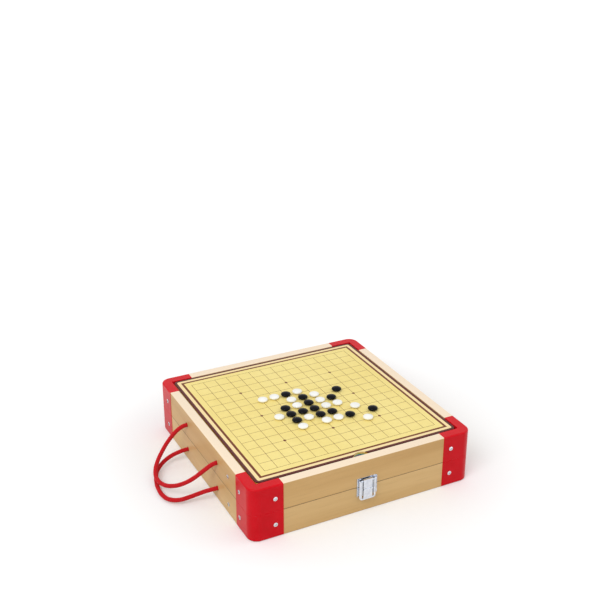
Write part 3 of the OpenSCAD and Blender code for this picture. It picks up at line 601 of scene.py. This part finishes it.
def checks(tree, cell, first, second):
    """Squares of two colours, cell millimetres wide."""
    where = node(tree, "TexCoord").outputs["Object"]
    moved = node(tree, "Mapping", {"Vector": where, "Location": (0, 0, 0.5),
                                   "Scale": (1000 / cell, 1000 / cell, 0)}).outputs[0]
    return node(tree, "TexChecker", {"Vector": moved, "Color1": shade(*first),
                                     "Color2": shade(*second), "Scale": 1.0}).outputs[0]


def old_paper(tree):
    """Beige that darkens unevenly, as of an old sheet."""
    patches = mottle(tree, place_on(tree), 9, detail=6, roughness=0.6)
    return between(tree, patches, (212, 184, 140), (234, 212, 172))


printed_board("river game print", "river_board", [(0.1, (190, 160, 110))], old_paper,
              half=0.1365, corner=0.001, backing=(214, 186, 140))
river_brown = (100, 48, 32)
river_left, river_front = -127.7, -127.5
river_column, river_row = 28.378, 31.875
river_x = [river_left + river_column * i for i in range(10)]
river_y = [river_front + river_row * j for j in range(9)]
left, right, front, back = river_x[0], river_x[9], river_y[0], river_y[8]
river_line, palace_line, border_line = 1.2, 1.0, 1.6
border_x, border_y = 131.6, 131.4
river_lines = bmesh.new()
for x in river_x:
    strip(river_lines, (x, front), (x, back), river_line)
for y in river_y:
    if y in (front, back):
        strip(river_lines, (left, y), (right, y), river_line)
    else:
        strip(river_lines, (left, y), (river_x[4], y), river_line)
        strip(river_lines, (river_x[5], y), (right, y), river_line)
for first, last in ((0, 2), (7, 9)):
    strip(river_lines, (river_x[first], river_y[3]), (river_x[last], river_y[5]), palace_line)
    strip(river_lines, (river_x[first], river_y[5]), (river_x[last], river_y[3]), palace_line)
for side in (-1, 1):
    strip(river_lines, (-border_x, side * border_y), (border_x, side * border_y), border_line)
    strip(river_lines, (side * border_x, -border_y), (side * border_x, border_y), border_line)
printed("river_lines", "river_board", river_brown, 1, river_lines, "upper_case")

mark_gap, mark_arm, mark_line = 1.9, 4.8, 1.6
marked = [(i, j) for i in (2, 7) for j in (1, 7)] + [(i, j) for i in (3, 6) for j in range(0, 9, 2)]
river_marks = bmesh.new()
for i, j in marked:
    for across in (-1, 1):
        for along in (-1, 1):
            if 0 <= j + along <= 8:
                x, y = river_x[i] + across * mark_gap, river_y[j] + along * mark_gap
                strip(river_marks, (x, y), (x + across * mark_arm, y), mark_line)
                strip(river_marks, (x, y - along * mark_line / 2), (x, y + along * mark_arm),
                      mark_line)
printed("river_marks", "river_board", river_brown, 2, river_marks, "upper_case")


# First loose board, with star figures: laminated card in night blue with a navy edge, small white
# specks, and nodes joined by thin lines, where pegs are moved from dot to dot.
def night(tree):
    """Night blue with faint purple clouds."""
    cloud = mottle(tree, place_on(tree), 11, detail=5, roughness=0.6, distortion=0.4)
    return ramp(tree, cloud, (0.28, shade(40, 44, 92)), (0.5, shade(53, 53, 102)),
                (0.74, shade(76, 66, 120)))


def round_about(x, y, reach, angle):
    """The point that far from x, y at an angle in degrees."""
    return (x + reach * math.cos(math.radians(angle)), y + reach * math.sin(math.radians(angle)))


def polygon(flat, corners):
    """A flat face with these corners."""
    flat.faces.new([flat.verts.new((*corner, 0)) for corner in corners])


def peg_figure(name, places, joins, rim_r, dot_r, sides, line_colour, rim_colour, dot_colour):
    """Round places for pegs, joined by thin lines."""
    join_w = 0.9
    lines, rims, dots = bmesh.new(), bmesh.new(), bmesh.new()
    for first, last in joins:
        strip(lines, places[first], places[last], join_w)
    for x, y in places:
        spot(rims, x, y, rim_r, sides)
        spot(dots, x, y, dot_r, sides)
    printed(name + "_lines", "board_pentagram", line_colour, 2, lines)
    printed(name + "_rims", "board_pentagram", rim_colour, 3, rims)
    printed(name + "_dots", "board_pentagram", dot_colour, 4, dots)


printed_board("night blue print", "board_pentagram", [(8, (16, 34, 88))], night)
specks = random.Random(7)
dust = bmesh.new()
for _ in range(260):
    spot(dust, specks.uniform(-125, 125), specks.uniform(-124, 125),
         specks.choice((0.4, 0.5, 0.7, 1.1)), sides=6)
printed("night_specks", "board_pentagram", (226, 230, 242), 1, dust)

star_x, star_y = -64, -56
tip_reach, notch_reach = 62, 23.7
tips = [round_about(star_x, star_y, tip_reach, 90 + 72 * i) for i in range(5)]
notches = [round_about(star_x, star_y, notch_reach, 126 + 72 * i) for i in range(5)]
peg_figure("pentagram", tips + notches, [(i, (i + 2) % 5) for i in range(5)], 8.2, 7.2, 32,
           (226, 222, 110), (250, 248, 214), (244, 232, 40))
square_corners = [(92, -48), (20, -48), (20, -120), (92, -120)]
peg_figure("square", square_corners, ((0, 1), (1, 2), (2, 3), (0, 2), (1, 3)), 6.4, 5.2, 28,
           (222, 158, 58), (252, 226, 180), (244, 156, 12))

waist = 0.36
for name, colour, places in (
        ("night_stars_green", (112, 158, 96), ((-112, 20, 9), (-20, 8, 10), (30, 104, 9))),
        ("night_stars_pink", (176, 140, 152), ((-108, -110, 7), (4, -104, 7), (100, 40, 8))),
        ("night_stars_blue", (90, 150, 190), ((-60, 92, 8), (110, -110, 7), (62, 62, 9)))):
    small_stars = bmesh.new()
    for x, y, reach in places:
        polygon(small_stars, [round_about(x, y, reach if k % 2 == 0 else waist * reach, 45 * k)
                              for k in range(8)])
    printed(name, "board_pentagram", colour, 2, small_stars)
orbits = bmesh.new()
orbit_steps, orbit_w = 40, 0.7
for x, y, radius in ((62, 62, 26), (-70, 78, 20)):
    path = [round_about(x, y, radius, 360 / orbit_steps * k) for k in range(orbit_steps)]
    for start, end in zip(path, path[1:] + path[:1]):
        strip(orbits, start, end, orbit_w)
printed("night_orbits", "board_pentagram", (128, 140, 196), 1, orbits)


# Second loose board, with snakes and ladders: laminated card in purple with ten rows of ten lilac
# tiles. Its first and last tiles are red, and ladders and snakes join some of the others.
def purple(tree):
    """Plain purple with a faint cloud."""
    cloud = mottle(tree, place_on(tree), 14, detail=3)
    return between(tree, cloud, (150, 90, 166), (158, 98, 174))


def on_snakes(column, row):
    """The middle of a tile, counted from the front left."""
    return (snake_pitch * (column - 4.5), snake_pitch * (row - 4.5))


def square_to(run):
    """The sideways direction of a line."""
    return Vector((-run.y, run.x)).normalized()


printed_board("purple print", "board_snakes", [(1.2, (128, 76, 150))], purple)
snake_pitch, snake_tile, tile_corner = 25.3, 22.4, 1.6
lilac, tile_red = (236, 212, 240), (222, 40, 62)
tile_orange, tile_blue = (240, 132, 62), (104, 188, 214)
special_tiles = {
    tile_red: [(0, 0), (0, 9)],
    tile_orange: [(2, 0), (4, 2), (7, 1), (1, 4), (8, 4), (5, 6), (2, 7), (8, 8), (4, 9)],
    tile_blue: [(0, 2), (5, 1), (7, 3), (9, 1), (2, 3), (0, 6), (6, 5), (9, 6), (3, 8), (6, 8)]}
tile_colours = {place: colour for colour, places in special_tiles.items() for place in places}
for colour in (lilac, tile_red, tile_orange, tile_blue):
    tiles = bmesh.new()
    for column in range(10):
        for row in range(10):
            if tile_colours.get((column, row), lilac) == colour:
                tile(tiles, *on_snakes(column, row), snake_tile, snake_tile, tile_corner)
    printed("snake_tiles_%d" % colour[0], "board_snakes", colour, 1, tiles)

ladder_half, rail_w, rung_w, rung_gap = 6, 2.2, 1.5, 5
foot_gap, head_gap = 5, 3
ladders, rungs = bmesh.new(), bmesh.new()
for foot, head in (((2, 0), (3, 3)), ((7, 1), (8, 4)), ((1, 4), (2, 7)), ((4, 2), (5, 6)),
                   ((5, 6), (4, 9)), ((8, 4), (8, 8))):
    low, high = Vector(on_snakes(*foot)), Vector(on_snakes(*head))
    run = high - low
    low, high = low + foot_gap * run.normalized(), high - head_gap * run.normalized()
    across = square_to(run) * ladder_half
    for side in (-1, 1):
        strip(ladders, low + side * across, high + side * across, rail_w)
    count = int((high - low).length // rung_gap)
    for k in range(1, count):
        middle = low.lerp(high, k / count)
        strip(rungs, middle - across, middle + across, rung_w)
printed("snake_ladder_rungs", "board_snakes", (244, 140, 66), 2, rungs)
printed("snake_ladder_rails", "board_snakes", (238, 118, 50), 3, ladders)

snake_r, snake_steps, snake_waves = 0.0033, 60, 1.6
snake_flatness, snake_lift = 0.007, 0.00003
back_spot_r, eye_r, pupil_r = 2.1, 1.2, 0.6
eye_ahead, eye_apart, pupil_ahead = 1.2, 2.2, 0.3
for name, colour, dark, head, tail, sway in (
        ("snake_blue", (42, 148, 196), (24, 104, 160), (0.6, 4.4), (0.9, 2.2), 9),
        ("snake_pink", (232, 112, 146), (206, 74, 116), (5.2, 1.2), (8.9, 1.1), 6),
        ("snake_yellow", (238, 178, 70), (214, 140, 36), (6.9, 2.4), (3.2, 3.1), 6),
        ("snake_green", (92, 182, 92), (52, 144, 64), (6.6, 5.9), (6.9, 2.9), 7),
        ("snake_violet", (150, 74, 180), (116, 46, 150), (1.4, 8.6), (0.2, 5.2), 8),
        ("snake_orange", (240, 140, 80), (214, 100, 44), (7.2, 8.4), (5.4, 6.8), 7)):
    start, end = Vector(on_snakes(*head)), Vector(on_snakes(*tail))
    run = end - start
    across = square_to(run)
    shares = [k / snake_steps for k in range(snake_steps + 1)]
    middle_line = [start.lerp(end, share) + across * sway
                   * math.sin(2 * math.pi * snake_waves * share) * min(1, 6 * share)
                   for share in shares]
    thick = [1 - 0.75 * share ** 2 for share in shares]
    flat_snake = tube_mesh(name, [[(x / 1000, y / 1000, 0) for x, y in middle_line]], snake_r,
                           sides=2, taper=thick)
    flat_snake.transform(
        Matrix.Translation((0, 0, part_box("board_snakes")[1].z + snake_lift))
        @ Matrix.Diagonal((1, 1, snake_flatness, 1)))
    finished(name + "_body", flat_snake, ink(colour), "board_snakes")
    eyes, pupils, back_spots = bmesh.new(), bmesh.new(), bmesh.new()
    for k in range(5, 56, 5):
        spot(back_spots, *middle_line[k], back_spot_r * thick[k], sides=10)
    for side in (-1, 1):
        eye = start - run.normalized() * eye_ahead + across * side * eye_apart
        spot(eyes, *eye, eye_r, sides=12)
        spot(pupils, *(eye - run.normalized() * pupil_ahead), pupil_r, sides=10)
    printed(name + "_spots", "board_snakes", dark, 3.8, back_spots)
    printed(name + "_eyes", "board_snakes", (250, 250, 250), 3.8, eyes)
    printed(name + "_pupils", "board_snakes", (30, 24, 40), 4, pupils)

number_left, number_up = 9, 4.2
numbers = bpy.data.curves.new("numbers", "FONT")
numbers.size = 6.4
numbers.resolution_u = 2
number_holder = bpy.data.objects.new("numbers", numbers)
scene.collection.objects.link(number_holder)
figures = bmesh.new()
for row in range(10):
    for column in range(10):
        numbers.body = str(row * 10 + (column if row % 2 == 0 else 9 - column) + 1)
        bpy.context.view_layer.update()
        shaped = number_holder.evaluated_get(bpy.context.evaluated_depsgraph_get())
        figure = bpy.data.meshes.new_from_object(shaped)
        x, y = on_snakes(column, row)
        figure.transform(Matrix.Translation((x - number_left, y + number_up, 0)))
        figures.from_mesh(figure)
bpy.data.objects.remove(number_holder)
printed("snake_numbers", "board_snakes", (250, 250, 252), 1.6, figures)


# Third loose board, the race game: laminated card in teal with a darker edge. Four corner homes
# and a cross of small squares, each with a white dot, make the track.
def teal(tree):
    """Squares in two pale teals."""
    return checks(tree, 43.0, (138, 209, 204), (190, 231, 228))


def teal_rim(tree):
    """Lengths in a deep and a pale teal."""
    return checks(tree, 64.0, (26, 166, 156), (126, 204, 200))


def turned_round(quarter, place):
    """A place of the track, turned by quarters, in whole millimetres."""
    return tuple(round(part) for part in quarter @ Vector(place))


printed_board("teal print", "board_ludo", [(6.2, teal_rim), (1.6, (196, 235, 232))], teal)
ludo_pitch, ludo_square, ludo_corner, ludo_dot = 19.0, 15, 3.4, 5.4
home_x, home_y, home_side, home_corner = 100, 98, 55, 7
petal_gap, petal_r, bead_r, eyelet_r = 13.2, 10.6, 6.0, 3.6
ludo_blue, ludo_yellow, ludo_green, ludo_red = (
    (22, 112, 172), (246, 190, 22), (136, 196, 40), (222, 44, 58))
track_colours = (ludo_blue, ludo_red, ludo_green, ludo_yellow)
quarter_track = [(0, -112), (-19, -112), (-38, -112), (-57, -112), (-57, -93), (-57, -74),
                 (-74, -57), (-93, -57), (-112, -57), (-112, -38), (-112, -19)]
painted = {}
for turned, column_colour in enumerate((ludo_blue, ludo_green, ludo_red, ludo_yellow)):
    quarter = Matrix.Rotation(-turned * math.pi / 2, 2)
    for k, place in enumerate(quarter_track):
        painted[turned_round(quarter, place)] = track_colours[(k + turned * 11) % 4]
    for k in range(5):
        painted[turned_round(quarter, (0, -93 + ludo_pitch * k))] = column_colour
homes = {ludo_blue: (-1, -1), ludo_yellow: (1, -1), ludo_green: (-1, 1), ludo_red: (1, 1)}
ludo_white, ludo_rings = bmesh.new(), bmesh.new()
for place in painted:
    spot(ludo_white, *place, ludo_dot, sides=24)
for colour, (across, along) in homes.items():
    squares = bmesh.new()
    for place, paint in painted.items():
        if paint == colour:
            tile(squares, *place, ludo_square, ludo_square, ludo_corner)
    x, y = home_x * across, home_y * along
    tile(squares, x, y, home_side, home_side, home_corner)
    printed("ludo_squares_%d" % colour[0], "board_ludo", colour, 1, squares)
    emblems = bmesh.new()
    for side in (-1, 1):
        for end in (-1, 1):
            petal = (x + side * petal_gap, y + end * petal_gap)
            spot(ludo_white, *petal, petal_r, sides=36)
            spot(emblems, *petal, bead_r, sides=24)
            spot(ludo_rings, *petal, eyelet_r, sides=20)
    printed("ludo_emblems_%d" % colour[0], "board_ludo", colour, 3, emblems)
printed("ludo_white_dots", "board_ludo", (248, 250, 250), 2, ludo_white)
printed("ludo_rings", "board_ludo", (248, 250, 250), 4, ludo_rings)


# Fourth loose board, the six-pointed star game: laminated card in two yellows. The star has a
# coloured triangle at each point and 121 black dots joined by thin lines.
def yellows(tree):
    """Squares in two yellows."""
    return checks(tree, 272 / 6, (252, 198, 6), (254, 221, 112))


printed_board("yellow print", "board_star", [(0.1, (252, 198, 6))], yellows)
dot_pitch, dot_r, link_w = 17.6, 4.2, 1.1
row_h = dot_pitch * math.sqrt(3) / 2
inner_reach, outer_reach = 4 * dot_pitch, 8 * row_h
point_growth = 1.24
middle = bmesh.new()
polygon(middle, [round_about(0, 0, inner_reach, 60 * k) for k in range(6)])
printed("star_middle", "board_star", (188, 186, 190), 1.5, middle)
for angle, name, colour in (
        (-90, "green", (112, 190, 46)), (-150, "orange", (242, 142, 16)),
        (-30, "purple", (104, 34, 138)), (150, "blue", (14, 104, 176)),
        (30, "red", (214, 42, 54)), (90, "yellow", (250, 232, 60))):
    corners = [Vector(round_about(0, 0, inner_reach, angle - 30)),
               Vector(round_about(0, 0, outer_reach, angle)),
               Vector(round_about(0, 0, inner_reach, angle + 30))]
    heart = (corners[0] + corners[1] + corners[2]) / 3
    point = bmesh.new()
    polygon(point, [heart + point_growth * (corner - heart) for corner in corners])
    printed("star_point_" + name, "board_star", colour, 1, point)
dots, links = bmesh.new(), bmesh.new()
places = [(i, j) for i in range(-8, 9) for j in range(-8, 9)
          if max(i, j, -i - j) <= 4 or min(i, j, -i - j) >= -4]
for i, j in places:
    x, y = dot_pitch * (i + j / 2), row_h * j
    spot(dots, x, y, dot_r, sides=20)
    for di, dj in ((1, 0), (0, 1), (-1, 1)):
        if (i + di, j + dj) in places:
            strip(links, (x, y), (dot_pitch * (i + di + (j + dj) / 2), row_h * (j + dj)), link_w)
printed("star_lines", "board_star", (34, 30, 32), 2, links)
printed("star_dots", "board_star", (22, 20, 24), 3, dots)


# Fifth loose board, with fifteen lines each way: laminated card in pale yellow with a dark brown
# edge. Black and white stones stand on the crossings of its lines.
def straw(tree):
    """Pale yellow, slightly cloudy."""
    cloud = mottle(tree, place_on(tree), 10, detail=5)
    return between(tree, cloud, (245, 223, 136), (250, 231, 150))


printed_board("pale yellow print", "board_lines",
              [(3.4, (96, 42, 38)), (4.4, (252, 227, 170)), (3.2, (118, 60, 34))], straw)
line_half = 117
line_pitch = line_half / 7
line_w = 0.55
marker_r = 1.9
grid, grid_dots = bmesh.new(), bmesh.new()
for k in range(-7, 8):
    at = line_pitch * k
    end = line_half + line_w / 2
    strip(grid, (at, -end), (at, end), line_w)
    strip(grid, (-end, at), (end, at), line_w)
for x in (-4 * line_pitch, 0, 4 * line_pitch):
    for y in (-4 * line_pitch, 0, 4 * line_pitch):
        spot(grid_dots, x, y, marker_r)
printed("line_grid", "board_lines", (134, 98, 58), 1, grid)
printed("line_dots", "board_lines", (110, 56, 40), 2, grid_dots)

# Stones: small domed pieces of pressed glass, black and white. Their rims are rounded and they
# are polished all over. They lie loose on the crossings of the line board.
for name, low, high, gloss in (("black", (6, 7, 11), (12, 13, 18), 0.1),
                               ("white", (240, 240, 234), (252, 252, 248), 0.3)):
    coat(clouded("stones " + name, 130, 4, low, high, 0.00004, 0.12, Roughness=0.1,
                 Specular_IOR_Level=gloss), "stones_" + name)

# Flat discs of the compartment: turned beech with a ring cut in the top, stained red or black.
# Sixteen of each colour lie loose behind the long divider.
for name, dark, light in (("red", (128, 30, 26), (164, 46, 38)),
                          ("black", (40, 34, 32), (62, 52, 48))):
    coat(timber("discs " + name, "X", dark, light, pores=0.9, roughness=0.4), "discs_" + name)

# Pawns: small turned pieces in four colours. Each is dipped in glossy paint, and they lie loose
# in the front bays.
for name, colour in (("red", (206, 30, 40)), ("yellow", (244, 196, 36)),
                     ("green", (44, 150, 62)), ("blue", (26, 92, 176))):
    coat(clouded(name + " pawn paint", 240, 3, [0.93 * part for part in colour], colour,
                 0.00005, 0.2, Roughness=0.24, Coat_Weight=0.5, Coat_Roughness=0.08),
         "pawns_" + name)

# Dice: two of moulded ivory plastic with rounded corners, loose in a front bay. Their pips are
# drilled and filled with black paint.
coat(clouded("ivory plastic", 200, 3, (238, 232, 214), (248, 244, 230), 0.00003, 0.2,
             Roughness=0.28, Subsurface_Weight=0.05), "dice")
die_y, die_z, die_half = -0.1235, 0.013, 0.007
pip_gap, pip_r, pip_depth = 0.0034, 0.0011, 0.00006
corner_pips = [(-1, -1), (-1, 1), (1, -1), (1, 1)]
pip_places = {1: [(0, 0)], 2: [(-1, -1), (1, 1)], 3: [(-1, -1), (0, 0), (1, 1)], 4: corner_pips,
              5: corner_pips + [(0, 0)], 6: [(s, e) for s in (-1, 1) for e in (-1, 0, 1)]}
quarter_turn = math.pi / 2
face_turns = {1: (0, 0), 6: (2 * quarter_turn, 0), 2: (quarter_turn, 0), 5: (-quarter_turn, 0),
              3: (0, quarter_turn), 4: (0, -quarter_turn)}
pips = bmesh.new()
for die_x, rolled in ((0.020375, 0), (0.048375, quarter_turn)):
    for count, (turn_x, turn_y) in face_turns.items():
        face = (Matrix.Translation((die_x, die_y, die_z)) @ Matrix.Rotation(rolled, 4, "Y")
                @ Matrix.Rotation(turn_x, 4, "X") @ Matrix.Rotation(turn_y, 4, "Y"))
        for u, v in pip_places[count]:
            place = face @ Matrix.Translation((u * pip_gap, v * pip_gap, die_half))
            bmesh.ops.create_cone(pips, cap_ends=True, segments=16, radius1=pip_r, radius2=pip_r,
                                  depth=pip_depth, matrix=place)
pip_mesh = bpy.data.meshes.new("pips")
pips.to_mesh(pip_mesh)
pips.free()
pip_paint, tree, shader = surface("black pip filling", Roughness=0.35)
speckle = mottle(tree, place_on(tree), 800, detail=2)
colour_it(tree, shader, between(tree, speckle, (20, 20, 22), (34, 34, 38)))
finished("dice_pips", pip_mesh, pip_paint, "lower_case", smooth=False)
